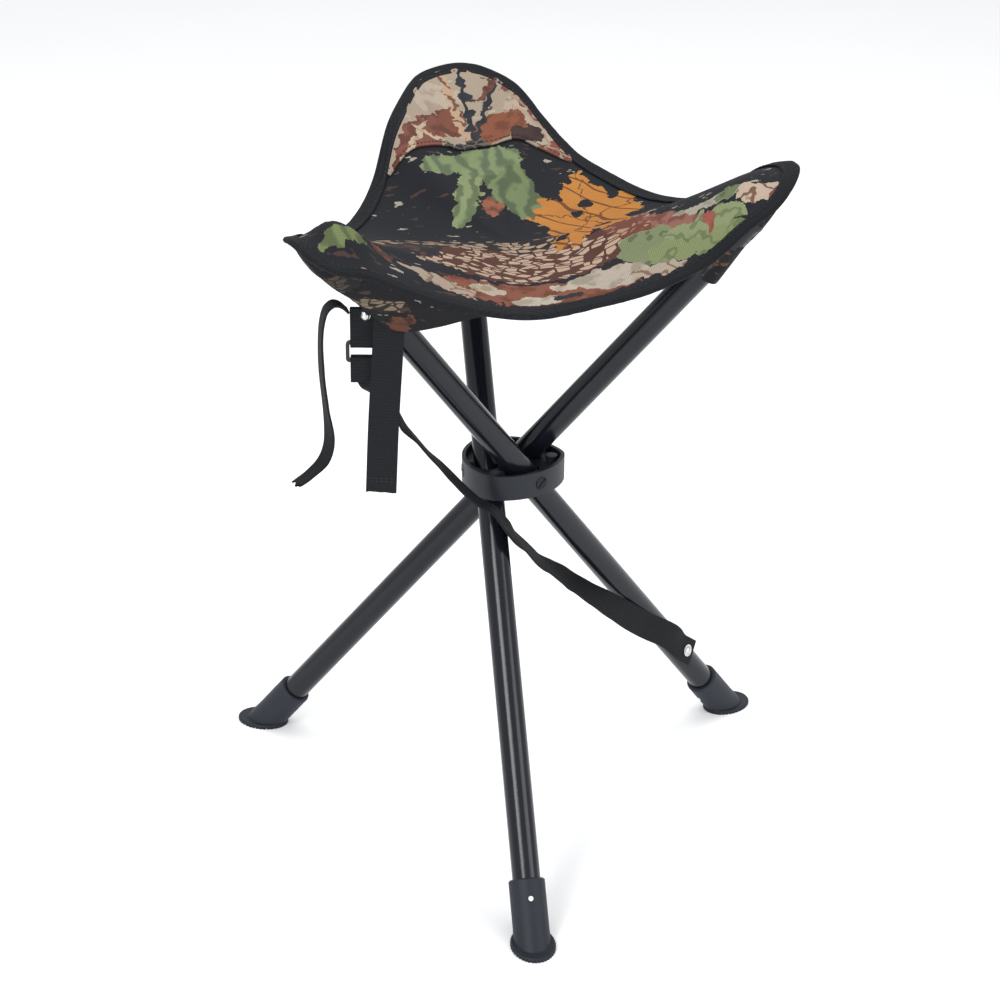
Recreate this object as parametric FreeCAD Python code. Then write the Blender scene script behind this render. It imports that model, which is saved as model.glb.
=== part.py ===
import FreeCAD, Part
import math
import os

from FreeCAD import Placement, Rotation, Vector

# A folding three-legged camp stool. Three steel tubes cross in a moulded hub, each
# beside the stool's axis, and swing about a pin in the hub. A triangular cloth seat
# has a pocket under each corner for the end of a tube. The origin is on the floor
# under the hub, +Z is up, and the rear leg's top leans towards +Y. Millimetres.

# Driving dimensions of the frame
HUB_HEIGHT = 256.0  # floor to the pivot pins
TILT = 39.0  # degrees between an open leg and the vertical
OFFSET = 16.0  # stool's axis to each tube's axis
TUBE_R = 9.5
TUBE_WALL = 1.0
UPPER = 252.0  # pivot to the tube's upper end
LOWER = 318.0  # pivot to the tube's lower end, inside its boot
LEG_TURN = {"a": 210.0, "b": 330.0, "c": 90.0}  # degrees, way that each top leans

# Hub
HUB_FACE = 34.0  # axis to the middle of each side
HUB_ARC = 46.0  # radius of the bowed sides
HUB_CORNER = 16.0
HUB_DEEP = 18.0
HUB_WALL = 2.6
HUB_FLOOR = 8.0
CORE_R = 13.0
POST_R = 4.2
POST_AT = 29.0
BOSS_R = 6.5
SWING_CLEAR = 0.5
SWING_STEP = 6.5  # degrees between the cuts that clear a tube's swing
PIN_R = 3.0
PIN_CLEAR = 0.05
PIN_HEAD_R = 4.6
PIN_HEAD = 1.2
WASHER_R = 6.0
WASHER = 0.8

# Boot
BOOT_TOP = 286.0  # pivot to the boot's rim
BOOT_R = 12.3
BOOT_FOOT_R = 13.1
SOLE_LONG = 20.0  # half lengths of the sole's oval
SOLE_WIDE = 15.2
SOLE_THICK = 3.0
SOLE_TOE = 1.5
SOLE_TEETH = 40
TOOTH_R = 0.9
BOOT_PIN_AT = 300.0
BOOT_PIN_R = 1.4

# Seat
SEAT_SIDE = 110.5  # axis to the middle of each side, in plan
SEAT_CORNER = 32.0  # radius of the rounded corners, in plan
SEAT_THICK = 2.4
BINDING_WIDE = 10.0
BINDING_THICK = 4.2
CENTRE_RISE = 165.0  # heights above the pivots
EDGE_RISE = (  # directions round the seat and the edge's height there
    (4, 187),
    (22, 181),
    (45, 187),
    (60, 195),
    (72, 213),
    (82, 234),
    (95, 238),
    (108, 232),
    (122, 218),
    (136, 188),
    (154, 175),
    (178, 175),
    (200, 191),
    (213, 207),
    (225, 191),
    (236, 174),
    (250, 160),
    (268, 153),
    (288, 157),
    (306, 165),
    (318, 180),
    (327, 208),
    (336, 231),
    (344, 228),
    (353, 204),
)
RIDGE = {"a": 17.0, "b": 7.0, "c": 3.0}  # how far a tube's end lifts the cloth
SEAT_STEPS = (0, 3, 7, 12, 20, 30, 40, 50, 60, 70, 80, 90, 100, 108, 113, 117, 120)
SEAT_SHARES = (0.2, 0.4, 0.6, 0.75, 0.85, 0.92, 1.0)
RIDGE_AT = 155.0
RIDGE_WIDE = 23.0
RIDGE_BACK = 26.0
RIDGE_FRONT = 14.0
SEAM_AT = 106.0  # axis to the seam of the rear corner's own panel
POCKET_R = 11.0
POCKET_CLOTH = 0.9
POCKET_DEEP = 107.0
POCKET_END = 7.0  # tube's end to the pocket's closed end

# Webbing
WEB_WIDE = 20.0
WEB_THICK = 1.6
WEB_TURN = -9.0  # degrees, the way that the hanging webbing lies from +X
RIVET_R = 3.4

UP = Vector(0, 0, 1)


def turned(angle):
    """The level direction at an angle from +X, in degrees."""
    return Vector(math.cos(math.radians(angle)), math.sin(math.radians(angle)), 0)


def leg_place(name, tilt=TILT):
    """Places a leg that was built upright on its pivot: its own Y is along the pin."""
    stand = Placement(Vector(0, 0, HUB_HEIGHT), Rotation(UP, LEG_TURN[name]))
    lean = Placement(Vector(0, OFFSET, 0), Rotation(Vector(0, 1, 0), tilt))
    return stand.multiply(lean)


def placed(shape, place):
    copy = shape.copy()
    copy.Placement = place.multiply(copy.Placement)
    return copy


def rod(radius, low, high, way=UP):
    """A round rod through the origin's line, from low to high along way."""
    return Part.makeCylinder(radius, high - low, way * low, way)


def pipe(outer, inner, low, high, way=UP):
    return rod(outer, low, high, way).cut(rod(inner, low - 1, high + 1, way))


def solid_of(triangles):
    """A closed solid from its triangles."""
    faces = [Part.Face(Part.makePolygon([a, b, c, a])) for a, b, c in triangles]
    shell = Part.makeShell(faces)
    shell.sewShape()
    solid = Part.makeSolid(shell)
    if solid.Volume < 0:
        solid.reverse()
    return solid


def skin(rows, closed):
    """Triangles over a net of points, row to row, closed round if asked."""
    found = []
    for low, high in zip(rows, rows[1:]):
        count = len(low)
        for i in range(count if closed else count - 1):
            j = (i + 1) % count
            found.append((low[i], low[j], high[j]))
            found.append((low[i], high[j], high[i]))
    return found


# --- hub -----------------------------------------------------------------------------


def rounded_triangle(face, arc, low, high):
    """A prism with three bowed sides, each face away from the axis at its middle."""
    shape = None
    for turn in LEG_TURN.values():
        side = Part.makeCylinder(arc, high - low, turned(turn + 90) * (face - arc) + UP * low)
        shape = side if shape is None else shape.common(side)
    return shape


def upright_edges(shape):
    """The three edges where the bowed sides meet."""
    return [e for e in shape.Edges if len(e.Vertexes) == 2 and e.tangentAt(e.FirstParameter).cross(UP).Length < 1e-6]


def hub_block(low, high, inset=0.0):
    block = rounded_triangle(HUB_FACE - inset, HUB_ARC - inset, low, high)
    return block.makeFillet(HUB_CORNER - inset, upright_edges(block))


def hub_body():
    """The ring, its floor at half height, the core and the bosses round the pins."""
    half = HUB_DEEP / 2
    wall = hub_block(-half, half).cut(hub_block(-half - 1, half + 1, HUB_WALL))
    floor = hub_block(-HUB_FLOOR / 2, HUB_FLOOR / 2, HUB_WALL / 2)
    body = wall.fuse(floor).fuse(rod(CORE_R, -half + 1, half - 1))
    for turn in LEG_TURN.values():
        out = turned(turn + 90)
        body = body.fuse(rod(BOSS_R, OFFSET, HUB_FACE - HUB_WALL / 2, out))
        post = rod(POST_R, -half + 1, half - 1)
        post.translate(turned(turn + 30) * POST_AT)
        body = body.fuse(post)
    body.translate(UP * HUB_HEIGHT)
    for name in LEG_TURN:
        body = body.cut(swing_space(name))
    return body.removeSplitter()


def swing_space(name):
    """What a tube passes through as its leg folds, with the pin's bore."""
    radius = TUBE_R + SWING_CLEAR
    steps = round(TILT / SWING_STEP)
    cuts = []
    for step in range(steps + 1):
        place = leg_place(name, TILT * step / steps)
        cuts.append(placed(rod(radius, -40, 40), place))
    flats = TUBE_R + WASHER + 0.15
    across = Vector(0, 1, 0)
    cuts.append(placed(rod(WASHER_R + 0.3, -flats, flats, across), leg_place(name)))
    cuts.append(placed(rod(PIN_R + PIN_CLEAR, -OFFSET + 3, HUB_CORNER * 2, across), leg_place(name)))
    head = HUB_FACE - OFFSET - PIN_HEAD + 0.2
    cuts.append(placed(rod(PIN_HEAD_R + 0.15, head, head + 20, across), leg_place(name)))
    return cuts


def pivot_pin():
    """A pin along Y through tube and hub, with a low slotted head outside."""
    head = HUB_FACE - OFFSET - PIN_HEAD + 0.2
    across = Vector(0, 1, 0)
    pin = rod(PIN_R, -OFFSET + 3.5, head, across).fuse(rod(PIN_HEAD_R, head, head + PIN_HEAD, across))
    slot = Part.makeBox(2 * PIN_HEAD_R, 0.6, 1.0, Vector(-PIN_HEAD_R, head + PIN_HEAD - 0.5, -0.5))
    return pin.cut(slot)


def pivot_washers():
    across = Vector(0, 1, 0)
    inner = pipe(WASHER_R, PIN_R + PIN_CLEAR, -TUBE_R - WASHER, -TUBE_R - 0.02, across)
    outer = pipe(WASHER_R, PIN_R + PIN_CLEAR, TUBE_R + 0.02, TUBE_R + WASHER, across)
    return [inner, outer]


def three(shapes):
    """The same solids on all three pivots, as one part."""
    return Part.makeCompound([placed(s, leg_place(name)) for name in LEG_TURN for s in shapes])


# --- legs ----------------------------------------------------------------------------


def leg_tube():
    tube = pipe(TUBE_R, TUBE_R - TUBE_WALL, -LOWER, UPPER)
    tube = tube.cut(rod(PIN_R + PIN_CLEAR, -20, 20, Vector(0, 1, 0)))
    pin_bore = rod(BOOT_PIN_R + 0.05, -20, 20, Vector(1, 0, 0))
    pin_bore.translate(UP * -BOOT_PIN_AT)
    return tube.cut(pin_bore)


def tube_plug():
    """A domed cap on the tube's upper end, with a shank inside it."""
    head = rod(TUBE_R + 0.5, UPPER, UPPER + 4.5)
    rim = [e for e in head.Edges if abs(e.BoundBox.ZMin - UPPER - 4.5) < 0.01 and e.Closed]
    head = head.makeFillet(3.4, rim)
    return head.fuse(rod(TUBE_R - TUBE_WALL - 0.05, UPPER - 14, UPPER))


def boot_sleeve():
    """The round sleeve, turned: a bevelled rim, then a slight flare to the foot."""
    floor = HUB_HEIGHT / math.cos(math.radians(TILT)) + 20
    bevel = 1.0
    outline = [
        Vector(0, 0, -BOOT_TOP),
        Vector(BOOT_R - bevel, 0, -BOOT_TOP),
        Vector(BOOT_R, 0, -BOOT_TOP - bevel),
        Vector(BOOT_R, 0, -LOWER),
        Vector(BOOT_FOOT_R, 0, -floor),
        Vector(0, 0, -floor),
    ]
    face = Part.Face(Part.makePolygon(outline + outline[:1]))
    return face.revolve(Vector(0, 0, 0), UP, 360)


def sole_oval(grow, low, high):
    """An oval plate along X, in floor coordinates about the leg's own line."""
    oval = Part.Ellipse(Vector(0, 0, low), SOLE_LONG + grow, SOLE_WIDE + grow)
    plate = Part.Face(Part.Wire(oval.toShape())).extrude(UP * (high - low))
    plate.translate(Vector(-SOLE_TOE, 0, 0))
    return plate


def sole_plate():
    """The flared sole: a toothed rim, and three grooves across its underside."""
    plate = sole_oval(0, 0, SOLE_THICK)
    top = [e for e in plate.Edges if abs(e.BoundBox.ZMin - SOLE_THICK) < 0.01 and e.Closed]
    plate = plate.makeChamfer(0.9, top)
    notches = []
    for step in range(SOLE_TEETH):
        angle = 2 * math.pi * step / SOLE_TEETH
        x = (SOLE_LONG + 0.3) * math.cos(angle) - SOLE_TOE
        y = (SOLE_WIDE + 0.3) * math.sin(angle)
        notches.append(Part.makeCylinder(TOOTH_R, SOLE_THICK + 2, Vector(x, y, -1)))
    for x in (-9.0, 0.0, 9.0):
        notches.append(Part.makeBox(1.6, 60, 1.2, Vector(x - SOLE_TOE - 0.8, -30, -0.4)))
    return plate.cut(notches)


def foot_boot(name):
    """Sleeve and sole on the floor, hollow for the tube and its retaining pin."""
    sleeve = placed(boot_sleeve(), leg_place(name))
    below = Part.makeBox(800, 800, 100, Vector(-400, -400, -100))
    sleeve = sleeve.cut(below)
    reach = HUB_HEIGHT * math.tan(math.radians(TILT))
    spot = leg_place(name, 0).Base - turned(LEG_TURN[name]) * reach
    spot.z = 0
    sole = placed(sole_plate(), Placement(spot, Rotation(UP, LEG_TURN[name])))
    grooves = placed(groove_cutter(), Placement(spot, Rotation(UP, LEG_TURN[name])))
    boot = sleeve.cut(grooves).fuse(sole)
    bore = rod(TUBE_R, -LOWER, -BOOT_TOP + 1)
    pin_bore = rod(BOOT_PIN_R, -20, 20, Vector(1, 0, 0))
    pin_bore.translate(UP * -BOOT_PIN_AT)
    return boot.cut([placed(bore, leg_place(name)), placed(pin_bore, leg_place(name))])


def groove_cutter():
    """The same three grooves, for the sleeve's own underside."""
    bars = [Part.makeBox(1.6, 60, 1.2, Vector(x - SOLE_TOE - 0.8, -30, -0.4)) for x in (-9.0, 0.0, 9.0)]
    return Part.makeCompound(bars)


def boot_pin():
    """The pin that keeps the boot on: right through, with a domed head each side."""
    across = Vector(1, 0, 0)
    pin = rod(BOOT_PIN_R - 0.02, -BOOT_R - 0.1, BOOT_R + 0.1, across)
    for way in (1, -1):
        head = Part.makeSphere(2.0, Vector(way * (BOOT_R - 1.0), 0, 0))
        keep = Part.makeBox(3, 8, 8, Vector(BOOT_R + 0.05 if way > 0 else -BOOT_R - 3.05, -4, -4))
        pin = pin.fuse(head.common(keep))
    pin.translate(UP * -BOOT_PIN_AT)
    return pin


def corner_pocket():
    """The cloth pocket that a seat corner has for the tube's end."""
    end = UPPER + POCKET_END
    start = end - POCKET_DEEP
    pocket = rod(POCKET_R, start, end)
    rim = [e for e in pocket.Edges if abs(e.BoundBox.ZMin - end) < 0.01 and e.Closed]
    pocket = pocket.makeFillet(3.0, rim)
    return pocket.cut(rod(POCKET_R - POCKET_CLOTH, start - 1, end - POCKET_CLOTH))


# --- seat ----------------------------------------------------------------------------

SEAT_TURN = math.degrees(math.atan2(OFFSET, UPPER * math.sin(math.radians(TILT))))
CORNER_TURN = {name: turn + SEAT_TURN for name, turn in LEG_TURN.items()}


def nearest_corner(turn):
    """The corner nearest to a direction, and the angle past it, counterclockwise."""
    past = {name: (turn - at + 180) % 360 - 180 for name, at in CORNER_TURN.items()}
    name = min(past, key=lambda key: abs(past[key]))
    return name, past[name]


def seat_reach(turn):
    """Plan distance from the axis to the seat's edge in a direction."""
    past = abs(nearest_corner(turn)[1])
    centre = 2 * (SEAT_SIDE - SEAT_CORNER)
    tangent = math.degrees(math.atan2(SEAT_CORNER * math.sin(math.pi / 3), centre + SEAT_CORNER / 2))
    if past > tangent:
        return SEAT_SIDE / math.cos(math.radians(60 - past))
    side = centre * math.sin(math.radians(past))
    return centre * math.cos(math.radians(past)) + math.sqrt(SEAT_CORNER**2 - side**2)


def edge_rise(turn):
    """Height of the seat's edge above the pivots in a direction, on a smooth curve."""
    turn = turn % 360
    count = len(EDGE_RISE)
    at = max((i for i in range(count) if EDGE_RISE[i][0] <= turn), default=count - 1)
    knots = []
    for i in range(at - 1, at + 3):
        along, rise = EDGE_RISE[i % count]
        knots.append(((along - turn + 180) % 360 - 180, rise))
    (t0, r0), (t1, r1), (t2, r2), (t3, r3) = knots
    share = -t1 / (t2 - t1)
    slope1 = (r2 - r0) / (t2 - t0) * (t2 - t1)
    slope2 = (r3 - r1) / (t3 - t1) * (t2 - t1)
    cube = 2 * (r1 - r2) + slope1 + slope2
    square = 3 * (r2 - r1) - 2 * slope1 - slope2
    return ((cube * share + square) * share + slope1) * share + r1


def seat_point(turn, part, lift=0.0):
    """A point of the seat's middle surface, part of the way out in a direction."""
    reach = seat_reach(turn) * part
    name, past = nearest_corner(turn)
    rise = CENTRE_RISE + (edge_rise(turn) - CENTRE_RISE) * part**1.35
    along = reach * math.cos(math.radians(past)) - RIDGE_AT
    aside = reach * math.sin(math.radians(past))
    spread = RIDGE_FRONT if along > 0 else RIDGE_BACK
    rise += RIDGE[name] * math.exp(-((along / spread) ** 2) - (aside / RIDGE_WIDE) ** 2)
    return turned(turn) * reach + UP * (HUB_HEIGHT + rise + lift)


def side_turns(corner):
    """Directions along one side of the seat, closer together near its corners."""
    return [CORNER_TURN[corner] + step for step in SEAT_STEPS]


def cloth_part(turn):
    """How far out, of the whole reach, the cloth shows inside the binding."""
    return 1 - BINDING_WIDE / seat_reach(turn)


def seat_cloth():
    """The whole seat cloth inside its binding, as one thin solid."""
    turns = [t for corner in "cab" for t in side_turns(corner)[:-1]]
    half = SEAT_THICK / 2
    top = [[seat_point(t, s * cloth_part(t), half) for t in turns] for s in SEAT_SHARES]
    bottom = [[seat_point(t, s * cloth_part(t), -half) for t in turns] for s in SEAT_SHARES]
    faces = skin(top, True)
    faces += [(a, c, b) for a, b, c in skin(bottom, True)]
    faces += [(a, c, b) for a, b, c in skin([top[-1], bottom[-1]], True)][::-1]
    for row, lift in ((top[0], half), (bottom[0], -half)):
        middle = seat_point(CORNER_TURN["c"], 0.0, lift)
        for i in range(len(row)):
            faces.append((middle, row[i], row[(i + 1) % len(row)]))
    return solid_of(faces)


def corner_cutter():
    """Everything beyond the rear corner's seam."""
    box = Part.makeBox(200, 400, 400, Vector(SEAM_AT, -200, 200))
    return placed(box, Placement(Vector(0, 0, 0), Rotation(UP, CORNER_TURN["c"])))


def edge_binding(first):
    """The tape folded over one side of the seat, from its first corner to the next."""
    turns = side_turns(first)
    half = BINDING_THICK / 2
    ring = [[seat_point(t, cloth_part(t), half) for t in turns]]
    ring.append([seat_point(t, 1.0, half) for t in turns])
    ring.append([seat_point(t, 1.0, -half) for t in turns])
    ring.append([seat_point(t, cloth_part(t), -half) for t in turns])
    faces = skin(ring + ring[:1], False)
    for end in (0, -1):
        a, b, c, d = (row[end] for row in ring)
        faces += [(a, b, c), (a, c, d)]
    return solid_of(faces)


# --- webbing -------------------------------------------------------------------------


def ribbon(stations, wide=WEB_WIDE, thick=WEB_THICK):
    """Flat webbing through stations, each a point and the way its width lies."""
    spots = [Vector(*at) + UP * HUB_HEIGHT for at, _ in stations]
    rings = [[], [], [], []]
    for i, spot in enumerate(spots):
        along = spots[min(i + 1, len(spots) - 1)] - spots[max(i - 1, 0)]
        along.normalize()
        across = Vector(*stations[i][1])
        across = across - along * across.dot(along)
        across.normalize()
        out = along.cross(across)
        for ring, (x, y) in zip(rings, ((-1, -1), (1, -1), (1, 1), (-1, 1))):
            ring.append(spot + across * (x * wide / 2) + out * (y * thick / 2))
    faces = skin(rings + rings[:1], False)
    for end in (0, -1):
        a, b, c, d = (ring[end] for ring in rings)
        faces += [(a, b, c), (a, c, d)]
    return solid_of(faces)


ACROSS = (math.cos(math.radians(WEB_TURN)), math.sin(math.radians(WEB_TURN)), 0)

# Heights here are above the pivots. The webbing is fixed to leg a near both its ends.
TAB_AT = (-109.3, -91.2)
TAB_TOP = 158.0
TAB_LAYER = 1.0  # the tab's middle to the middle of each of its two layers
RING_TOP = 135.5
RING_DEEP = 14.4
RING_WIDE = 26.0
RING_WIRE = 2.4
LOOP_R = 2.8  # a wire's middle to the middle of the webbing round it


def web_spot(aside, front, rise):
    """A spot by its place across the hanging webbing, in front of it, and up."""
    turn = math.radians(WEB_TURN)
    x = TAB_AT[0] + aside * math.cos(turn) + front * math.sin(turn)
    y = TAB_AT[1] + aside * math.sin(turn) - front * math.cos(turn)
    return (x, y, rise)


def wire_loop(rise, first, last):
    """Stations round a wire of the ring, between two angles from the front."""
    found = []
    for step in range(5):
        angle = math.radians(first + (last - first) * step / 4)
        spot = web_spot(0, LOOP_R * math.cos(angle), rise + LOOP_R * math.sin(angle))
        found.append((spot, ACROSS))
    return found


UPPER_WIRE = RING_TOP - RING_WIRE / 2
LOWER_WIRE = RING_TOP - RING_DEEP + RING_WIRE / 2
TAB_ROUTE = [
    (web_spot(0, TAB_LAYER, TAB_TOP), ACROSS),
    (web_spot(0, TAB_LAYER, UPPER_WIRE + 7), ACROSS),
    *wire_loop(UPPER_WIRE, 0, -180),
    (web_spot(0, -TAB_LAYER, UPPER_WIRE + 7), ACROSS),
    (web_spot(0, -TAB_LAYER, TAB_TOP), ACROSS),
]
CARRY_ROUTE = [
    (web_spot(0, LOOP_R + 0.6, LOWER_WIRE - 14), ACROSS),
    *wire_loop(LOWER_WIRE, 0, 180),
    ((-108.2, -87.6, 114.5), ACROSS),
    ((-104.6, -84.5, 105.5), ACROSS),
    ((-96.8, -79.0, 90.5), (0.6, -0.75, 0.1)),
    ((-85.8, -72.0, 71.0), (-0.27, -0.92, 0.27)),
    ((-75.9, -66.0, 56.0), (-0.16, -0.92, 0.36)),
    ((-64.4, -59.5, 39.2), (-0.17, -0.92, 0.36)),
    ((-51.6, -54.0, 22.9), (-0.25, -0.92, 0.29)),
    ((-39.5, -50.0, 7.8), (-0.27, -0.92, 0.27)),
    ((-28.8, -48.0, -3.3), (-0.26, -0.93, 0.26)),
    ((-18.3, -47.5, -11.1), (-0.31, -0.92, 0.25)),
    ((-8.9, -46.0, -24.4), (-0.33, -0.9, 0.27)),
    ((1.4, -36.0, -40.4), (-0.23, -0.9, 0.37)),
    ((19.3, -16.0, -66.3), (-0.28, -0.91, 0.31)),
    ((32.8, -6.0, -80.4), (-0.34, -0.92, 0.18)),
    ((44.6, 2.0, -92.3), (-0.42, -0.9, 0.04)),
    ((60.5, 7.0, -106.5), (-0.47, -0.87, -0.08)),
    ((78.6, 14.0, -121.9), (-0.54, -0.77, -0.34)),
    ((95.8, 22.8, -137.6), (-0.6, -0.6, -0.5)),
    ((110.0, 31.5, -150.0), (-0.6, -0.4, -0.66)),
    ((130.0, 41.4, -165.5), (-0.55, -0.35, -0.74)),
    ((140.7, 50.1, -179.8), (-0.37, -0.5, -0.77)),
    ((145.9, 53.7, -184.7), (-0.37, -0.5, -0.77)),
    ((151.1, 57.3, -189.6), (-0.37, -0.5, -0.77)),
]
TAIL_ROUTE = [
    ((-120.6, -92.0, 156.5), (0.1, -1, 0)),
    ((-125.8, -92.0, 161.2), (0.1, -1, 0)),
    ((-130.6, -92.0, 161.7), (0.1, -1, 0)),
    ((-135.3, -92.0, 156.7), (0.1, -1, 0)),
    ((-138.1, -92.0, 141.3), (0.1, -1, 0)),
    ((-138.1, -92.0, 117.3), (0.15, -1, 0)),
    ((-136.1, -93.0, 93.3), (0.2, -1, 0)),
    ((-134.3, -94.0, 69.7), (0.4, -0.9, 0)),
    ((-138.1, -95.0, 56.3), (0.4, -0.9, 0)),
    ((-148.1, -97.0, 46.8), (0.2, -0.9, 0)),
    ((-157.1, -99.0, 41.3), (0.1, -0.9, 0)),
]
TAIL_WIDE = 12.0
CLOSURE_ROUTE = [((-93.5, -99.5, 178.0), ACROSS), ((-101.8, -99.5, 32.5), ACROSS)]
RIVET_TURN = (0.655, -0.738, 0.161)  # the way that the lower rivet faces
RIVET_AT = 240.0  # pivot to the lower rivet


def webbing_plane(rise):
    """Places what was built facing -Y at a height of the hanging webbing."""
    return Placement(Vector(*TAB_AT, HUB_HEIGHT + rise), Rotation(UP, WEB_TURN))


def strap_tab():
    """The short folded piece of webbing that the ring hangs from."""
    hole = placed(rod(1.6, -5, 5, Vector(0, 1, 0)), webbing_plane(TAB_TOP - 5))
    return ribbon(TAB_ROUTE).cut(hole)


def strap_rivet():
    """The upper rivet: a domed head in front, a shank and a thin back disc."""
    front = Vector(0, -1, 0)
    face = TAB_LAYER + WEB_THICK / 2 + 0.05
    head = Part.makeSphere(4.2, Vector(0, 2.45 - face, 0)).common(rod(RIVET_R, face, 8, front))
    rivet = head.fuse(rod(1.55, -face, face, front)).fuse(rod(2.8, -face - 0.6, -face, front))
    return placed(rivet, webbing_plane(TAB_TOP - 5))


def strap_ring():
    """The flat wire ring between the tab and the carrying strap."""
    outer = Part.makeBox(RING_WIDE, RING_WIRE, RING_DEEP, Vector(-RING_WIDE / 2, -RING_WIRE / 2, -RING_DEEP))
    upright = [e for e in outer.Edges if abs(e.tangentAt(e.FirstParameter).y) > 0.99]
    outer = outer.makeFillet(2.5, upright)
    inner = Part.makeBox(RING_WIDE - 2 * RING_WIRE, 10, RING_DEEP - 2 * RING_WIRE)
    inner.translate(Vector(-RING_WIDE / 2 + RING_WIRE, -5, -RING_DEEP + RING_WIRE))
    return placed(outer.cut(inner), webbing_plane(RING_TOP))


def lower_rivet():
    """The rivet and its washer that hold the strap to the leg, above the boot."""
    out = Vector(*RIVET_TURN)
    out.normalize()
    spot = leg_place("a").multVec(Vector(0, 0, -RIVET_AT))
    shank = Part.makeCylinder(1.55, 3.2, out * (TUBE_R + 0.1), out)
    head = Part.makeSphere(4.2, out * (TUBE_R + 0.5)).common(
        Part.makeCylinder(RIVET_R, 8, out * (TUBE_R + 2.7), out)
    )
    washer = Part.makeCylinder(4.6, 0.45, out * (TUBE_R + 2.25), out)
    washer = washer.cut(Part.makeCylinder(1.6, 5, out * (TUBE_R - 1), out))
    rivet = head.fuse(shank)
    for shape in (rivet, washer):
        shape.translate(spot)
    return rivet, washer


def carry_strap():
    """The long strap, with the lower rivet's hole."""
    out = Vector(*RIVET_TURN)
    spot = leg_place("a").multVec(Vector(0, 0, -RIVET_AT))
    hole = Part.makeCylinder(1.6, 20, spot, out)
    return ribbon(CARRY_ROUTE).cut(hole)


def build():
    """Every part of the stool by its name."""
    parts = {"hub_body": hub_body(), "pivot_pins": three([pivot_pin()])}
    parts["pivot_washers"] = three(pivot_washers())
    shared = {"leg_tube": leg_tube(), "tube_plug": tube_plug(), "boot_pin": boot_pin()}
    shared["corner_pocket"] = corner_pocket()
    for name in LEG_TURN:
        for kind, shape in shared.items():
            parts[f"{kind}_{name}"] = placed(shape, leg_place(name))
        parts[f"foot_boot_{name}"] = foot_boot(name)
    cloth = seat_cloth()
    parts["seat_panel"] = cloth.cut(corner_cutter())
    parts["seat_corner_panel"] = cloth.common(corner_cutter())
    parts["edge_binding_front"] = edge_binding("a")
    parts["edge_binding_right"] = edge_binding("b")
    parts["edge_binding_left"] = edge_binding("c")
    parts["strap_tab"] = strap_tab()
    parts["strap_rivet"] = strap_rivet()
    parts["strap_ring"] = strap_ring()
    parts["carry_strap"] = carry_strap()
    parts["lower_rivet"], parts["lower_washer"] = lower_rivet()
    parts["strap_tail"] = ribbon(TAIL_ROUTE, TAIL_WIDE)
    parts["closure_strap"] = ribbon(CLOSURE_ROUTE)
    return parts


def main():
    os.makedirs("parts", exist_ok=True)
    for name, shape in build().items():
        solids = shape.Solids
        volume = sum(s.Volume for s in solids)
        print(f"{name}: {len(solids)} solids, {volume / 1000:.2f} cm3, valid {shape.isValid()}")
        shape.exportStep(f"parts/{name}.step")


main()
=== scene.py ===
import math

import bmesh
import bpy
from bpy.props import FloatProperty, FloatVectorProperty, PointerProperty
from mathutils import Matrix, Vector, noise


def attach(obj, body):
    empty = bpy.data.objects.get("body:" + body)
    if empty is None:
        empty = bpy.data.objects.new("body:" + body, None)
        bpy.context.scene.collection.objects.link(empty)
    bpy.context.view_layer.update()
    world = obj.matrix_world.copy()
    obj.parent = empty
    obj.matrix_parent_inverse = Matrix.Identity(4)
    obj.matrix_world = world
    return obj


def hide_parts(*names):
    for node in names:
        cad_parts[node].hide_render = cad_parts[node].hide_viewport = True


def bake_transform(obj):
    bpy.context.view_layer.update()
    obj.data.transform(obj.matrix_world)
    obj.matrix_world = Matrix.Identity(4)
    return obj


bl_info = {
    "name": "Folding tripod stool",
    "version": (1, 0, 0),
    "blender": (4, 5, 0),
    "location": "View3D > Sidebar > Stool",
    "description": "Builds the cloth, webbing and finishes of a folding tripod stool",
    "category": "Object",
}

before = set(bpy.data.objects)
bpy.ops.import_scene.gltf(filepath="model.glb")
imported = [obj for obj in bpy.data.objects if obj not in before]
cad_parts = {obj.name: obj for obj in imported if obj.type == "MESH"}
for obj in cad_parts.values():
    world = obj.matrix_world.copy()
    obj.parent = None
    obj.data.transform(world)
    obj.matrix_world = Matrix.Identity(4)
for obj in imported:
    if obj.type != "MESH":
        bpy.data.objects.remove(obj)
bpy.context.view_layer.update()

MM = 0.001
LEGS = ("a", "b", "c")
LEG_TURN = {"a": 210.0, "b": 330.0, "c": 90.0}  # degrees, way that each top leans

# The frame's sizes, in millimetres and degrees, as its solids have them
HUB_HEIGHT = 256.0
TILT = 39.0
OFFSET = 16.0
UPPER = 252.0

# The seat, in millimetres; heights are above the pivots
SEAT_SIDE = 110.5
SEAT_CORNER = 32.0
CENTRE_RISE = 165.0
EDGE_RISE = (  # directions round the seat and the edge's height there
    (4, 187), (22, 181), (45, 187), (60, 195), (72, 213), (82, 234), (95, 238), (108, 232),
    (122, 218), (136, 188), (154, 175), (178, 175), (200, 191), (213, 207), (225, 191),
    (236, 174), (250, 160), (268, 153), (288, 157), (306, 165), (318, 180), (327, 208),
    (336, 231), (344, 228), (353, 204),
)
RIDGE = {"a": 17.0, "b": 7.0, "c": 3.0}
RIDGE_AT = 155.0
RIDGE_WIDE = 23.0
RIDGE_BACK = 26.0
RIDGE_FRONT = 14.0
BINDING_WIDE = 10.0
CLOTH = 1.5  # thickness of the seat cloth
TAPE = 1.0  # thickness of the binding tape
TAPE_GAP = 0.35  # cloth to tape
TAPE_FOLD = 0.16  # share of half the tape's width that bends round the edge
SEAM_AT = 106.0
SEAM_BOW = 20.0
SEAM_HALF = 65.0
AHEAD = 0.3  # degrees, between two directions that give a row of stitches its way
EDGE_PITCH = 3.6  # from one stitch to the next on the binding
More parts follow.
